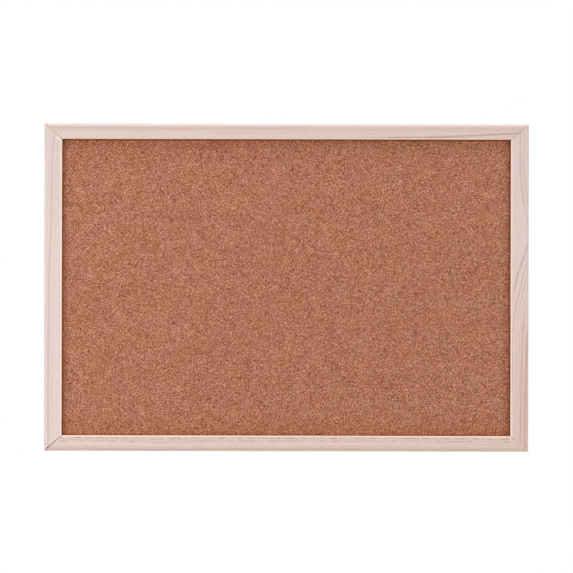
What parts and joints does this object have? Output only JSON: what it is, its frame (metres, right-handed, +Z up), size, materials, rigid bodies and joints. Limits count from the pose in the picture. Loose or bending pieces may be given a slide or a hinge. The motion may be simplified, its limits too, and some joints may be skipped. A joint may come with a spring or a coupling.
{
  "type": "cork board",
  "caption": "Wall notice board: a cork-faced panel held in a mitred pine frame, with swinging ring hangers and rubber bumpers behind.",
  "frame": {"origin": "on the wall plane that the rubber bumpers rest on, straight behind the middle of the frame", "axes": "+Z up; +X to the right of someone facing the cork; the cork faces -Y and the wall lies at Y = 0"},
  "size_m": [0.58, 0.0241, 0.392],
  "materials": {
    "pine": "planed, unfinished",
    "cork": "granulated, matt",
    "softboard": "fibrous",
    "hardboard": "smooth pressed face",
    "steel": "zinc plated",
    "nickel": "nickel plated",
    "rubber": "matt"
  },
  "bodies": {
    "board": {"top_rail": "pine", "bottom_rail": "pine", "left_stile": "pine", "right_stile": "pine", "cork_sheet": "cork", "softboard_core": "softboard", "hardboard_back": "hardboard", "v_nail_lower_left_1": "steel", "v_nail_lower_left_2": "steel", "v_nail_upper_left_1": "steel", "v_nail_upper_left_2": "steel", "v_nail_upper_right_1": "steel", "v_nail_upper_right_2": "steel", "v_nail_lower_right_1": "steel", "v_nail_lower_right_2": "steel", "panel_point_bottom_1": "steel", "panel_point_bottom_2": "steel", "panel_point_bottom_3": "steel", "panel_point_bottom_4": "steel", "panel_point_left_1": "steel", "panel_point_left_2": "steel", "panel_point_left_3": "steel", "panel_point_top_1": "steel", "panel_point_top_2": "steel", "panel_point_top_3": "steel", "panel_point_top_4": "steel", "panel_point_right_1": "steel", "panel_point_right_2": "steel", "panel_point_right_3": "steel", "left_hanger_strap": "nickel", "left_hanger_upper_screw": "steel", "left_hanger_lower_screw": "steel", "right_hanger_strap": "nickel", "right_hanger_upper_screw": "steel", "right_hanger_lower_screw": "steel", "left_bumper": "rubber", "right_bumper": "rubber"},
    "left_ring": {"left_hanger_ring": "nickel"},
    "right_ring": {"right_hanger_ring": "nickel"}
  },
  "joints": [
    {"name": "left_ring_swing", "type": "hinge", "parent": "board", "child": "left_ring", "pos_m": [-0.28246, -0.0027, 0.106], "axis": [1, 0, 0], "range_deg": [0, 180]},
    {"name": "right_ring_swing", "type": "hinge", "parent": "board", "child": "right_ring", "pos_m": [0.28246, -0.0027, 0.106], "axis": [1, 0, 0], "range_deg": [0, 180]}
  ]
}
